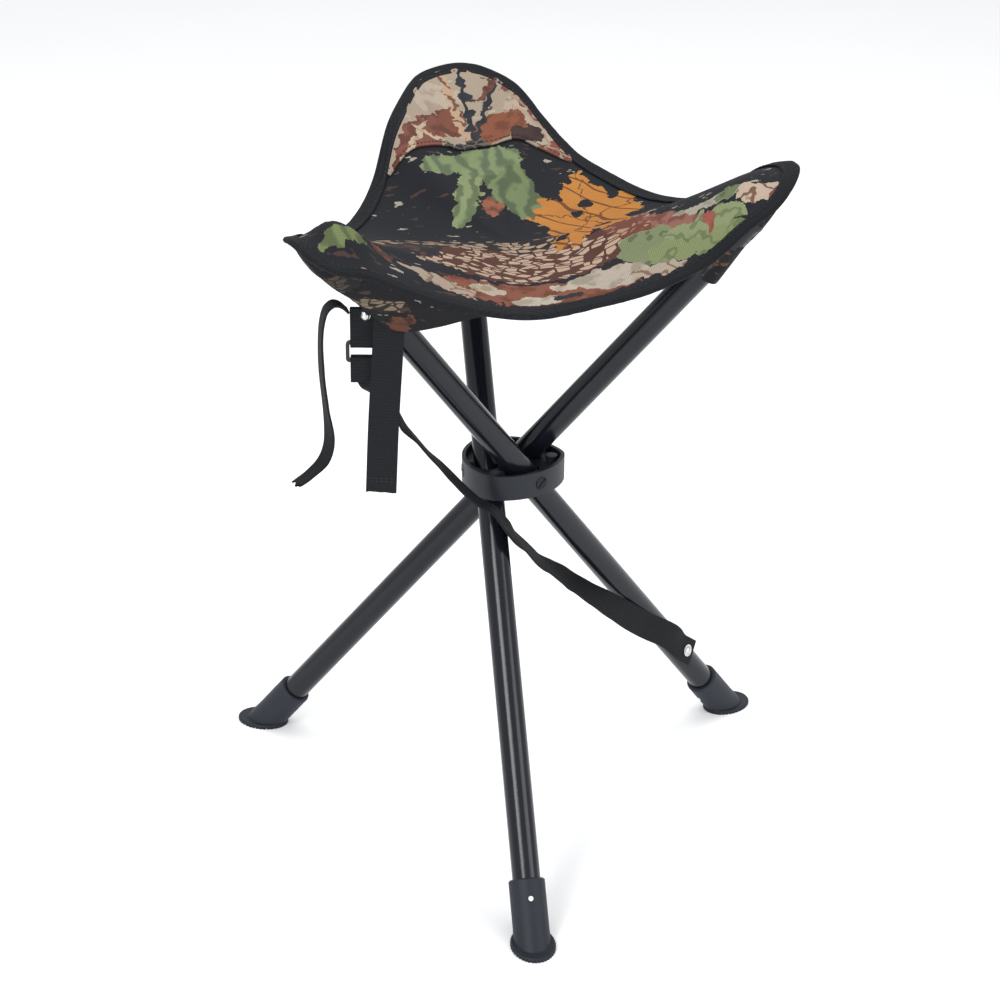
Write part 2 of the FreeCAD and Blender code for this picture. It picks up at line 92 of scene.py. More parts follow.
SEAM_PITCH = 3.2
SEAM_STITCH_OUT = 0.02  # share of the reach, from the seam out to its stitches

# Webbing, in millimetres; heights are above the pivots
WEB_THICK = 1.5
WEB_TURN = -9.0
ACROSS = (math.cos(math.radians(WEB_TURN)), math.sin(math.radians(WEB_TURN)), 0)
TAB_AT = (-109.3, -91.2)
TAB_TOP = 158.0
TAB_LAYER = 1.0
RING_TOP = 135.5
RING_DEEP = 14.4
RING_WIRE = 2.4
LOOP_R = 2.8
WEB_PITCH = 3.2  # between stitches in a row across the webbing
WEB_ROWS = 2.2  # between two such rows
UPPER_WIRE = RING_TOP - RING_WIRE / 2
LOWER_WIRE = RING_TOP - RING_DEEP + RING_WIRE / 2

# Camera: a long lens, at a three-quarter view from above; degrees and metres
CAMERA_AIM = (-0.00706, 0.00114, 0.23079)
CAMERA_TURN = -9.14
CAMERA_RISE = 24.82
CAMERA_ROLL = 0.49
CAMERA_FAR = 1.72855
LENS = 88.34


# --- helpers -------------------------------------------------------------------------

WELD = 1e-5  # metres, within which two vertices are one
BEVEL_FROM = 50.0  # degrees between faces whose edge is rounded
SHARP_FROM = 48.0  # degrees between faces whose edge stays crisp in shading


def linear(code):
    """A linear colour with alpha from an sRGB hex value."""
    parts = [int(code[i : i + 2], 16) / 255 for i in (1, 3, 5)]
    return [c / 12.92 if c <= 0.04045 else ((c + 0.055) / 1.055) ** 2.4 for c in parts] + [1.0]


def add(tree, kind, settings=None, inputs=None, out=0):
    """Adds a node with its settings, links or sets its inputs, and gives one output."""
    made = tree.nodes.new(kind)
    for key, value in (settings or {}).items():
        setattr(made, key, value)
    for key, value in (inputs or {}).items():
        if isinstance(value, bpy.types.NodeSocket):
            tree.links.new(value, made.inputs[key])
        else:
            made.inputs[key].default_value = value
    return made.outputs[out]


def new_material(name):
    """An empty node material, with its tree and its output."""
    made = bpy.data.materials.new(name)
    made.use_nodes = True
    made.node_tree.nodes.clear()
    return made, made.node_tree


def finish_material(tree, inputs):
    """Ends a material in one Principled shader."""
    shader = add(tree, "ShaderNodeBsdfPrincipled", None, inputs)
    output = tree.nodes.new("ShaderNodeOutputMaterial")
    tree.links.new(shader, output.inputs["Surface"])


def turned(angle):
    """The level direction at an angle from +X, in degrees."""
    return Vector((math.cos(math.radians(angle)), math.sin(math.radians(angle)), 0))


def metres(point):
    """A point above the pivots, in millimetres, as a place in metres."""
    return Vector((point[0] * MM, point[1] * MM, (point[2] + HUB_HEIGHT) * MM))


def net(across, along, place, facing=(0, 0, 1)):
    """A bmesh grid laid by place(u, v), which gives a point and a UV in metres.

    Its faces look the way of facing, on the whole.
    """
    bm = bmesh.new()
    bmesh.ops.create_grid(bm, x_segments=across, y_segments=along, size=0.5)
    uv = bm.loops.layers.uv.new("Cloth")
    laid = {v: place(v.co.x + 0.5, v.co.y + 0.5) for v in bm.verts}
    for face in bm.faces:
        for loop in face.loops:
            loop[uv].uv = laid[loop.vert][1]
    for vert, (point, _) in laid.items():
        vert.co = point
    bmesh.ops.remove_doubles(bm, verts=bm.verts, dist=WELD)
    bmesh.ops.recalc_face_normals(bm, faces=bm.faces)
    whole = sum((face.normal * face.calc_area() for face in bm.faces), Vector())
    if whole.dot(Vector(facing)) < 0:
        bmesh.ops.reverse_faces(bm, faces=bm.faces)
    return bm


def piece(name, bm, materials, thick=0.0, bevel=0.0):
    """Makes an object of a bmesh, with its thickness and rounding applied."""
    mesh = bpy.data.meshes.new(name)
    bm.to_mesh(mesh)
    bm.free()
    for made in materials:
        mesh.materials.append(made)
    obj = bpy.data.objects.new(name, mesh)
    bpy.context.scene.collection.objects.link(obj)
    if thick:
        wall = obj.modifiers.new("Thickness", "SOLIDIFY")
        wall.thickness = thick
        wall.offset = 0.0
        wall.material_offset = len(materials) - 1
        wall.material_offset_rim = 0
    if bevel:
        edge = obj.modifiers.new("Rounding", "BEVEL")
        edge.width = bevel
        edge.segments = 2
        edge.limit_method = "ANGLE"
        edge.angle_limit = math.radians(BEVEL_FROM)
    graph = bpy.context.evaluated_depsgraph_get()
    final = bpy.data.meshes.new_from_object(obj.evaluated_get(graph))
    obj.modifiers.clear()
    obj.data = final
    final.polygons.foreach_set("use_smooth", [True] * len(final.polygons))
    final.set_sharp_from_angle(angle=math.radians(SHARP_FROM))
    return obj


# --- shape of the seat ---------------------------------------------------------------

SEAT_TURN = math.degrees(math.atan2(OFFSET, UPPER * math.sin(math.radians(TILT))))
CORNER_TURN = {name: turn + SEAT_TURN for name, turn in LEG_TURN.items()}


def nearest_corner(turn):
    """The corner nearest to a direction, and the angle past it, counterclockwise."""
    past = {name: (turn - at + 180) % 360 - 180 for name, at in CORNER_TURN.items()}
    name = min(past, key=lambda key: abs(past[key]))
    return name, past[name]


def seat_reach(turn):
    """Plan distance from the axis to the seat's edge in a direction."""
    past = abs(nearest_corner(turn)[1])
    centre = 2 * (SEAT_SIDE - SEAT_CORNER)
    rise = SEAT_CORNER * math.sin(math.pi / 3)
    if past > math.degrees(math.atan2(rise, centre + SEAT_CORNER / 2)):
        return SEAT_SIDE / math.cos(math.radians(60 - past))
    side = centre * math.sin(math.radians(past))
    return centre * math.cos(math.radians(past)) + math.sqrt(SEAT_CORNER**2 - side**2)


def edge_rise(turn):
    """Height of the seat's edge in a direction, on a smooth curve."""
    turn = turn % 360
    count = len(EDGE_RISE)
    at = max((i for i in range(count) if EDGE_RISE[i][0] <= turn), default=count - 1)
    knots = []
    for i in range(at - 1, at + 3):
        along, rise = EDGE_RISE[i % count]
        knots.append(((along - turn + 180) % 360 - 180, rise))
    (t0, r0), (t1, r1), (t2, r2), (t3, r3) = knots
    share = -t1 / (t2 - t1)
    slope1 = (r2 - r0) / (t2 - t0) * (t2 - t1)
    slope2 = (r3 - r1) / (t3 - t1) * (t2 - t1)
    cube = 2 * (r1 - r2) + slope1 + slope2
    square = 3 * (r2 - r1) - 2 * slope1 - slope2
    return ((cube * share + square) * share + slope1) * share + r1


def seat_middle(turn, part):
    """A point of the seat's middle surface, part of the way out in a direction."""
    reach = seat_reach(turn) * part
    name, past = nearest_corner(turn)
    rise = CENTRE_RISE + (edge_rise(turn) - CENTRE_RISE) * part**1.35
    along = reach * math.cos(math.radians(past)) - RIDGE_AT
    aside = reach * math.sin(math.radians(past))
    spread = RIDGE_FRONT if along > 0 else RIDGE_BACK
    rise += RIDGE[name] * math.exp(-((along / spread) ** 2) - (aside / RIDGE_WIDE) ** 2)
    rise += pull_folds(name, past, part)
    spot = turned(turn) * reach
    spot.z = rise
    return spot


def pull_folds(name, past, part):
    """Shallow folds that run from a corner, where the tube's end pulls the cloth."""
    reach = min(1.0, max(0.0, (part - 0.35) / 0.4))
    fade = max(0.0, 1 - abs(past) / 34) * reach * (1 - 0.5 * part)
    return 1.5 * fade * math.cos(math.radians(past * 22 + {"a": 40, "b": 160, "c": 80}[name]))


def seat_normal(turn, part):
    """The way that the seat faces, upwards."""
    part = min(max(part, 0.05), 0.995)
    out = seat_middle(turn, part + 0.005) - seat_middle(turn, part - 0.005)
    round_ = seat_middle(turn + 0.6, part) - seat_middle(turn - 0.6, part)
    return out.cross(round_).normalized()


def seat_point(turn, part, lift=0.0):
    """A point at a height over the seat's middle surface, square to it."""
    return seat_middle(turn, part) + seat_normal(turn, part) * lift


def cloth_uv(turn, part):
    """Where the cloth lies when flat, roughly: its straight distance from the centre, in metres."""
    spot = seat_middle(turn, part)
    out = math.hypot(math.hypot(spot.x, spot.y), spot.z - CENTRE_RISE)
    flat = turned(turn) * out * MM
    return (flat.x, flat.y)


def cloth_part(turn, inset):
    """The share of the way out that is an inset away from the seat's edge."""
    return 1 - inset / seat_reach(turn)


def third_turn(leg, share):
    """A direction in the third of the seat round a corner, from its start to its end."""
    return CORNER_TURN[leg] - 60 + 120 * share


def seam_part(turn):
    """Share of the way out at which the rear corner's own panel starts."""
    past = math.radians(nearest_corner(turn)[1])
    reach = SEAM_AT
    for _ in range(12):
        aside = reach * math.sin(past)
        reach = (SEAM_AT - SEAM_BOW * (aside / SEAM_HALF) ** 2) / math.cos(past)
    return reach / seat_reach(turn)


def to_leg(obj):
    """Bakes the object's placing into its mesh."""
    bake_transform(obj)


def leg_line(leg, station, out=0.0, turn=0.0):
    """A point by its place along a leg, and beside it at an angle from its underside."""
    lean = math.radians(TILT)
    way = turned(LEG_TURN[leg])
    side = turned(LEG_TURN[leg] + 90)
    up = Vector((0, 0, 1))
    axis = way * math.sin(lean) + up * math.cos(lean)
    under = way * math.cos(lean) - up * math.sin(lean)
    beside = under * math.cos(math.radians(turn)) + side * math.sin(math.radians(turn))
    return side * OFFSET + axis * station + beside * out


# --- webbing routes ------------------------------------------------------------------


def web_spot(aside, front, rise):
    """A spot by its place across the hanging webbing, in front of it, and up."""
    turn = math.radians(WEB_TURN)
    x = TAB_AT[0] + aside * math.cos(turn) + front * math.sin(turn)
    y = TAB_AT[1] + aside * math.sin(turn) - front * math.cos(turn)
    return (x, y, rise)


def wire_loop(rise, first, last):
    """Stations round a wire of the ring, between two angles from the front."""
    found = []
    for step in range(5):
        angle = math.radians(first + (last - first) * step / 4)
        spot = web_spot(0, LOOP_R * math.cos(angle), rise + LOOP_R * math.sin(angle))
        found.append((spot, ACROSS))
    return found


TAB_ROUTE = [
    (web_spot(0, TAB_LAYER, TAB_TOP), ACROSS),
    (web_spot(0, TAB_LAYER, UPPER_WIRE + 7), ACROSS),
    *wire_loop(UPPER_WIRE, 0, -180),
    (web_spot(0, -TAB_LAYER, UPPER_WIRE + 7), ACROSS),
    (web_spot(0, -TAB_LAYER, TAB_TOP), ACROSS),
]
CARRY_ROUTE = [
    (web_spot(0, LOOP_R + 0.6, LOWER_WIRE - 14), ACROSS),
    *wire_loop(LOWER_WIRE, 0, 180),
    ((-108.2, -87.6, 114.5), ACROSS),
    ((-104.6, -84.5, 105.5), ACROSS),
    ((-96.8, -79.0, 90.5), (0.6, -0.75, 0.1)),
    ((-85.8, -72.0, 71.0), (-0.27, -0.92, 0.27)),
    ((-75.9, -66.0, 56.0), (-0.16, -0.92, 0.36)),
    ((-64.4, -59.5, 39.2), (-0.17, -0.92, 0.36)),
    ((-51.6, -54.0, 22.9), (-0.25, -0.92, 0.29)),
    ((-39.5, -50.0, 7.8), (-0.27, -0.92, 0.27)),
    ((-28.8, -48.0, -3.3), (-0.26, -0.93, 0.26)),
    ((-18.3, -47.5, -11.1), (-0.31, -0.92, 0.25)),
    ((-8.9, -46.0, -24.4), (-0.33, -0.9, 0.27)),
    ((1.4, -36.0, -40.4), (-0.23, -0.9, 0.37)),
    ((19.3, -16.0, -66.3), (-0.28, -0.91, 0.31)),
    ((32.8, -6.0, -80.4), (-0.34, -0.92, 0.18)),
    ((44.6, 2.0, -92.3), (-0.42, -0.9, 0.04)),
    ((60.5, 7.0, -106.5), (-0.47, -0.87, -0.08)),
    ((78.6, 14.0, -121.9), (-0.54, -0.77, -0.34)),
    ((95.8, 22.8, -137.6), (-0.6, -0.6, -0.5)),
    ((110.0, 31.5, -150.0), (-0.6, -0.4, -0.66)),
    ((130.0, 41.4, -165.5), (-0.55, -0.35, -0.74)),
    ((140.7, 50.1, -179.8), (-0.37, -0.5, -0.77)),
    ((145.9, 53.7, -184.7), (-0.37, -0.5, -0.77)),
    ((151.1, 57.3, -189.6), (-0.37, -0.5, -0.77)),
]
TAIL_ROUTE = [
    ((-120.6, -92.0, 156.5), (0.1, -1, 0)),
    ((-125.8, -92.0, 161.2), (0.1, -1, 0)),
    ((-130.6, -92.0, 161.7), (0.1, -1, 0)),
    ((-135.3, -92.0, 156.7), (0.1, -1, 0)),
    ((-138.1, -92.0, 141.3), (0.1, -1, 0)),
    ((-138.1, -92.0, 117.3), (0.15, -1, 0)),
    ((-136.1, -93.0, 93.3), (0.2, -1, 0)),
    ((-134.3, -94.0, 69.7), (0.4, -0.9, 0)),
    ((-138.1, -95.0, 56.3), (0.4, -0.9, 0)),
    ((-148.1, -97.0, 46.8), (0.2, -0.9, 0)),
    ((-157.1, -99.0, 41.3), (0.1, -0.9, 0)),
]
CLOSURE_ROUTE = [
    ((-93.5, -99.5, 178.0), ACROSS),
    ((-96.5, -99.9, 130.0), ACROSS),
    ((-99.6, -99.2, 80.0), ACROSS),
    ((-101.8, -99.5, 32.5), ACROSS),
]


def on_route(route, share):
    """A point and the way across, at a share of a route's length, on a smooth curve."""
    spots = [Vector(point) for point, _ in route]
    lengths = [0.0]
    for one, other in zip(spots, spots[1:]):
        lengths.append(lengths[-1] + (other - one).length)
    want = lengths[-1] * min(max(share, 0.0), 1.0)
    at = max(i for i in range(len(spots) - 1) if lengths[i] <= want + 1e-9)
    step = lengths[at + 1] - lengths[at]
    t = (want - lengths[at]) / step
    ends = [max(at - 1, 0), at, at + 1, min(at + 2, len(spots) - 1)]
    tangents = []
    for before, after in ((ends[0], ends[2]), (ends[1], ends[3])):
        span = lengths[after] - lengths[before]
        tangents.append((spots[after] - spots[before]) * (step / span))
    a, b = spots[at], spots[at + 1]
    cube = (a - b) * 2 + tangents[0] + tangents[1]
    square = (b - a) * 3 - tangents[0] * 2 - tangents[1]
    point = ((cube * t + square) * t + tangents[0]) * t + a
    ease = t * t * (3 - 2 * t)
    one, other = (Vector(route[i][1]).normalized() for i in (at, at + 1))
    return point, one.lerp(other, ease), lengths[-1]


def route_frame(route, share):
    """The point, the way across and the way out of the face, at a share of a route."""
    point, across, length = on_route(route, share)
    ahead = on_route(route, share + 0.002)[0] - on_route(route, share - 0.002)[0]
    along = ahead.normalized()
    across = (across - along * across.dot(along)).normalized()
    return point, across, along.cross(across), length


def strip(name, route, wide, steps, made, ragged=0.0):
    """Woven webbing laid on a route, as one thin sheet with soft edges."""

    def place(u, v):
        point, across, out, length = route_frame(route, v)
        side = (u - 0.5) * wide
        fray = 0.0
        if ragged and v > 0.999:
            fray = ragged * noise.noise(Vector((side * 0.9, 0, 3.7)))
        crown = out * (0.25 * noise.noise(Vector((v * length / 28, u * 1.5, 8.1))))
        along = across.cross(out)
        spot = point + across * side + crown + along * fray
        return metres(spot), (side * MM, v * length * MM)

    bm = net(8, steps, place)
    return piece(name, bm, [made], thick=WEB_THICK * MM, bevel=0.35 * MM)


def stitch_row(name, spots, made, long=2.5, radius=0.32):
    """A row of thread stitches; each spot is a point, a way along and a way out."""
    bm = bmesh.new()
    for point, along, out in spots:
        side = out.cross(along).normalized()
        turn = Matrix((along, side, out)).transposed().to_4x4()
        size = Matrix.Diagonal((long / 2 / radius, 1, 0.7, 1))
        place = Matrix.Translation(metres(point)) @ turn @ size
        bmesh.ops.create_icosphere(bm, subdivisions=1, radius=radius * MM, matrix=place)
    return piece(name, bm, [made])


def edge_stitches(leg, inset, lift):
    """Spots for a row of stitches along a corner's part of the binding."""
    found = []
    turn = third_turn(leg, 0)
    while turn < third_turn(leg, 1):
        spot, ahead = (seat_point(t, cloth_part(t, inset), lift) for t in (turn, turn + AHEAD))
        step = ahead - spot
        found.append((spot, step.normalized(), seat_normal(turn, cloth_part(turn, inset))))
        turn += AHEAD * EDGE_PITCH / step.length
    return found


def web_stitches(route, share, wide, rows, face=1):
    """Spots for a rectangle of stitches across webbing, from a share of its route on."""
    found = []
    for row in range(rows):
        at = share + row * WEB_ROWS / route_length(route)
        point, across, out, _ = route_frame(route, at)
        count = int(wide / WEB_PITCH)
        for i in range(count):
            side = (i + 0.5 - count / 2) * WEB_PITCH
            spot = point + across * side + out * (WEB_THICK / 2 * face)
            found.append((spot, across, out * face))
    return found


def route_length(route):
    return on_route(route, 0)[2]


# --- finishes ------------------------------------------------------------------------


WAVE_LONG = 0.314  # length of a wave texture's wave at a scale of 1
WEAVE_PITCH = 0.00125  # metres; oxford cloth is woven finer, but wouldn't show


def maths(tree, operation, *values):
    """A maths node over its values."""
    return add(tree, "ShaderNodeMath", {"operation": operation}, dict(enumerate(values)))


def clouds(tree, place, scale, detail, out=0):
    """Noise over a place, from 0 to 1; its second output has colours."""
    inputs = {"Vector": place, "Scale": scale, "Detail": detail}
    return add(tree, "ShaderNodeTexNoise", None, inputs, out)


def bands(tree, way, place, scale, more=None):
    """Parallel waves across a place, from 0 to 1."""
    inputs = {"Vector": place, "Scale": scale, **(more or {})}
    return add(tree, "ShaderNodeTexWave", {"bands_direction": way}, inputs, 1)


def between(tree, value, low, high, kind="LINEAR"):
    """How far a value lies from low to high, from 0 to 1."""
    inputs = {"Value": value, "From Min": low, "From Max": high}
    return add(tree, "ShaderNodeMapRange", {"interpolation_type": kind}, inputs)


def scaled_to(tree, value, low, high):
    """A value from 0 to 1 as one from low to high."""
    return add(tree, "ShaderNodeMapRange", None, {"Value": value, "To Min": low, "To Max": high})


def bumped(tree, height, strength, deep):
    """A surface's normal, as a height bends it."""
    inputs = {"Height": height, "Strength": strength, "Distance": deep}
    return add(tree, "ShaderNodeBump", None, inputs)


def mixed(tree, mask, below, above):
    return add(tree, "ShaderNodeMix", {"data_type": "RGBA"}, {0: mask, 6: below, 7: above}, 2)


def cloth_place(tree):
    """The flat cloth's coordinates, in metres."""
    return add(tree, "ShaderNodeUVMap", {"uv_map": "Cloth"})


def own_place(tree):
    """An object's own coordinates, in metres."""
    return add(tree, "ShaderNodeTexCoord", None, None, 3)


def cloth_weave(tree, uv, pitch):
    """Threads over and under, as a height from 0 to 1, by their spacing in metres."""
    warp, weft = (bands(tree, way, uv, WAVE_LONG / pitch) for way in "XY")
    return maths(tree, "MULTIPLY", warp, weft)


# Shapes of the woodland print: x, y, half sizes and turn on the flat cloth, in
# millimetres and degrees, then two colours and how they mix.
PRINT_SHAPES = (
    # bark flecks across the front
    (-38, -32, 86, 30, 5, "#b9a08a", "#2e2422", "fleck"),
    (0, -44, 80, 22, 2, "#c9ae97", "#5c362b", "fleck"),
    (72, -24, 46, 14, -66, "#b9957c", "#7a4536", "fleck"),
    (-78, -44, 26, 15, 25, "#5b3d33", "#23232b", "fleck"),
    # rust ground with pale stones along the front edge
    (2, -84, 78, 14, 3, "#8f5643", "#77412f", "mottle"),
    (-62, -88, 26, 7, -12, "#b8a491", "#8c7363", "grain"),
    (-30, -82, 12, 6, 8, "#c4b7a4", "#a99780", "mottle"),
    (3, -92, 20, 5, 5, "#c9bfae", "#b1a48d", "mottle"),
    (26, -76, 13, 5, 15, "#c9bfae", "#b1a48d", "mottle"),
    (22, -90, 10, 4, 0, "#2a2a30", "#332b2b", "mottle"),
    (52, -76, 26, 12, -8, "#c2b6a6", "#a89a88", "mottle"),
    (80, -84, 18, 6, -14, "#b9ab99", "#8f6a58", "grain"),
    # leaves and wood towards the right corner
    (84, -64, 26, 13, -36, "#85906a", "#667253", "spot"),
    (112, -84, 40, 8, -28, "#8c9768", "#727e55", "grain"),
    (118, -74, 30, 7, -26, "#929d72", "#76825a", "grain"),
    (99, -50, 24, 7, -48, "#9c6a5c", "#7e4a40", "mottle"),
    (126, -62, 26, 5, -26, "#b4ad9d", "#9c9582", "mottle"),
    (138, -66, 9, 6, -20, "#76825c", "#5f6c4b", "spot"),
    (121, -76, 4, 9, -12, "#a45a4c", "#8d4a3f", "mottle"),
    (156, -80, 16, 8, -24, "#cdb8a2", "#7e5a48", "grain"),
    (168, -88, 8, 5, -24, "#7c5244", "#5f3d33", "mottle"),
    # a lobed green leaf behind the middle
    (-34, 88, 24, 10, 22, "#8b9a6c", "#66765a", "vein"),
    (-22, 64, 9, 42, -14, "#93a173", "#6b7a57", "vein"),
    (9, 68, 16, 42, 18, "#7f8e63", "#5c6b4c", "vein"),
    (-4, 96, 26, 14, 0, "#8b9a6c", "#66765a", "vein"),
    (-8, 46, 8, 11, -10, "#a3644a", "#6f4436", "mottle"),
    # leaf at the left corner
    (-128, -98, 18, 6, 32, "#7d8a58", "#5f6c46", "vein"),
    (-99, -82, 10, 6, 30, "#8a4f38", "#4a3a33", "mottle"),
)
# The large leaf, the same way, and its holes: x, y and half length
LEAF = (56, 22, 39, 58, -8)
LEAF_HOLES = ((57, 44, 5), (49, 31, 5), (80, 52, 5), (64, 4, 7), (33, -12, 5), (88, 10, 4))
# Shapes on the rear corner's own panel
CORNER_SHAPES = (
    (-34, 158, 20, 20, 20, "#c6b5a2", "#b3a08c", "mottle"),
    (40, 132, 30, 20, -50, "#c2b09c", "#a8927d", "grain"),
    (-52, 112, 14, 34, -30, "#8a5446", "#6f4136", "mottle"),
    (-26, 138, 12, 16, -10, "#85503f", "#70402f", "mottle"),
    (8, 128, 22, 14, 20, "#94583f", "#7b4733", "mottle"),
    (30, 118, 14, 8, 30, "#4a3430", "#3a2a2a", "mottle"),
    (52, 104, 20, 10, 10, "#8d5545", "#b39a86", "grain"),
    (-58, 104, 3, 30, -22, "#cdb89e", "#b59b80", "grain"),
    (-44, 116, 2, 14, 60, "#cdb89e", "#b59b80", "grain"),
    (-22, 158, 3.4, 46, 9, "#c9a98a", "#7d5743", "grain"),
    (-12, 160, 2.6, 48, 2, "#2b3038", "#232830", "mottle"),
    (4, 152, 3, 44, -22, "#31343a", "#232830", "mottle"),
    (10, 172, 3.2, 22, -40, "#7b4d3e", "#5f3a30", "mottle"),
    (30, 150, 2.4, 28, 30, "#7b4d3e", "#b39a86", "grain"),
    (46, 126, 2.4, 32, 52, "#b9a28c", "#7b4d3e", "grain"),
    (58, 112, 2.2, 24, -30, "#b9a28c", "#7b4d3e", "grain"),
    (-24, 106, 14, 7, 15, "#2a2c33", "#5d5a52", "fleck"),
    (-8, 112, 10, 5, -20, "#2a2c33", "#6d665c", "fleck"),
)


def print_patterns(tree, uv):
    """The ways that a shape's two colours mix, each from 0 to 1."""
    soft = between(tree, clouds(tree, uv, 90, 4), 0.46, 0.6, "SMOOTHSTEP")
    stretch = {"Vector": uv, "Scale": (120, 270, 1), "Rotation": (0, 0, 0.1)}
    cells = {"Vector": add(tree, "ShaderNodeMapping", None, stretch), "Scale": 1.0}
    tint = add(tree, "ShaderNodeTexVoronoi", None, cells, 1)
    shade = add(tree, "ShaderNodeSeparateColor", None, {"Color": tint})
    gaps = add(tree, "ShaderNodeTexVoronoi", {"feature": "DISTANCE_TO_EDGE"}, cells)
    rim = maths(tree, "LESS_THAN", gaps, 0.09)
    fleck = maths(tree, "MAXIMUM", rim, maths(tree, "GREATER_THAN", shade, 0.62))
    lines = bands(tree, "DIAGONAL", uv, 34, {"Distortion": 9, "Detail": 2, "Detail Scale": 2.0})
    grain = between(tree, lines, 0.78, 0.95, "SMOOTHSTEP")
    dots = add(tree, "ShaderNodeTexVoronoi", None, {"Vector": uv, "Scale": 120})
    spot = maths(tree, "LESS_THAN", dots, 0.28)
    ribs = bands(tree, "X", uv, 22, {"Distortion": 14, "Detail": 3, "Detail Scale": 1.2})
    vein = between(tree, ribs, 0.15, 0.9, "SMOOTHSTEP")
    return {"mottle": soft, "fleck": fleck, "grain": grain, "spot": spot, "vein": vein}


def shape_place(tree, rough, x, y, wide, high, turn):
    """Coordinates in which an oval of the print is a circle of radius 1."""
    inputs = {
        "Vector": rough,
        "Location": (x * MM, y * MM, 0),
        "Rotation": (0, 0, math.radians(turn)),
        "Scale": (wide * MM, high * MM, 1),
    }
    return add(tree, "ShaderNodeMapping", {"vector_type": "TEXTURE"}, inputs)


def far_out(tree, place):
    return add(tree, "ShaderNodeVectorMath", {"operation": "LENGTH"}, {0: place}, 1)


def oval_mask(tree, rough, *shape):
    """Where an oval of the print lies; rough coordinates give it a torn edge."""
    return maths(tree, "LESS_THAN", far_out(tree, shape_place(tree, rough, *shape)), 1.0)


def laid_shapes(tree, rough, patterns, ground, shapes):
    """Lays a table of print shapes over a ground colour, first to last."""
    colour = ground
    for *shape, one, other, kind in shapes:
        inner = mixed(tree, patterns[kind], linear(one), linear(other))
        colour = mixed(tree, oval_mask(tree, rough, *shape), colour, inner)
    return colour


def autumn_leaf(tree, rough, uv, ground):
    """A large orange leaf with toothed lobes, veins and holes, laid over the ground."""
    moved = shape_place(tree, rough, *LEAF)
    parts = tree.nodes.new("ShaderNodeSeparateXYZ")
    tree.links.new(moved, parts.inputs[0])
    angle = maths(tree, "ARCTAN2", parts.outputs[0], parts.outputs[1])
    far = far_out(tree, moved)
    edge = 0.86
    for count, depth, shift in ((5, 0.15, 0.6), (13, 0.07, 1.1), (29, 0.03, 0.2)):
        wave = maths(tree, "COSINE", maths(tree, "MULTIPLY_ADD", angle, count, shift))
        edge = maths(tree, "MULTIPLY_ADD", wave, depth, edge)
    leaf = maths(tree, "LESS_THAN", far, edge)
    spoke = maths(tree, "SINE", maths(tree, "MULTIPLY_ADD", angle, 2.5, 0.3))
    width = maths(tree, "MULTIPLY", maths(tree, "ABSOLUTE", spoke), far)
    vein = maths(tree, "LESS_THAN", width, 0.035)
    branch = bands(tree, "DIAGONAL", uv, 26, {"Distortion": 5, "Detail": 1})
    lines = maths(tree, "MAXIMUM", vein, maths(tree, "GREATER_THAN", branch, 0.965))
    body = mixed(tree, clouds(tree, uv, 45, 3), linear("#dd9440"), linear("#bd7a38"))
    body = mixed(tree, lines, body, linear("#7d4a24"))
    colour = mixed(tree, leaf, ground, body)
    for x, y, size in LEAF_HOLES:
        hole = oval_mask(tree, rough, x, y, size, size * 0.8, 25)
        colour = mixed(tree, hole, colour, linear("#171922"))
    return colour


def printed_oxford(name, ground, pale, shapes, leaf=False):
    """Printed oxford cloth: polyester, plain woven and matt."""
    made, tree = new_material(name)
    uv = cloth_place(tree)
    tear = clouds(tree, uv, 120, 4, out=1)
    middle = {0: tear, 1: (0.5, 0.5, 0.5)}
    slack = add(tree, "ShaderNodeVectorMath", {"operation": "SUBTRACT"}, middle)
    slack = add(tree, "ShaderNodeVectorMath", {"operation": "SCALE"}, {0: slack, "Scale": 0.017})
    rough = add(tree, "ShaderNodeVectorMath", {"operation": "ADD"}, {0: uv, 1: slack})
    patterns = print_patterns(tree, uv)
    # Ground: one colour, with a few pale and rust flecks
    stretched = add(tree, "ShaderNodeMapping", None, {"Vector": uv, "Scale": (60, 150, 1)})
    flecks = clouds(tree, stretched, 1.0, 5)
    few = maths(tree, "GREATER_THAN", flecks, 0.655)
    colour = mixed(tree, few, linear(ground), linear(pale))
    colour = mixed(tree, maths(tree, "LESS_THAN", flecks, 0.36), colour, linear("#4b3730"))
    colour = laid_shapes(tree, rough, patterns, colour, shapes)
    if leaf:
        colour = autumn_leaf(tree, rough, uv, colour)
    # The weave scales the colour down, least on the threads' tops: painted shade between the
    # threads, and a dimming all over.
    weave = cloth_weave(tree, uv, WEAVE_PITCH)
    shade = {0: colour, "Scale": scaled_to(tree, weave, 0.5, 0.74)}
    colour = add(tree, "ShaderNodeVectorMath", {"operation": "SCALE"}, shade)
    bump = bumped(tree, weave, 0.35, 0.0004)
    look = {"Base Color": colour, "Roughness": 0.8, "Specular IOR Level": 0.25, "Normal": bump}
    finish_material(tree, look)
    return made


def coated_back():
    """The cloth's underside: a grey waterproof coating over the weave, slightly shiny."""
    made, tree = new_material("coated_oxford_back")
    uv = cloth_place(tree)
    weave = cloth_weave(tree, uv, WEAVE_PITCH)
    colour = mixed(tree, clouds(tree, uv, 30, 3), linear("#2b2c2f"), linear("#37383a"))
    bump = bumped(tree, weave, 0.2, 0.0003)
    finish_material(tree, {"Base Color": colour, "Roughness": 0.5, "Normal": bump})
    return made


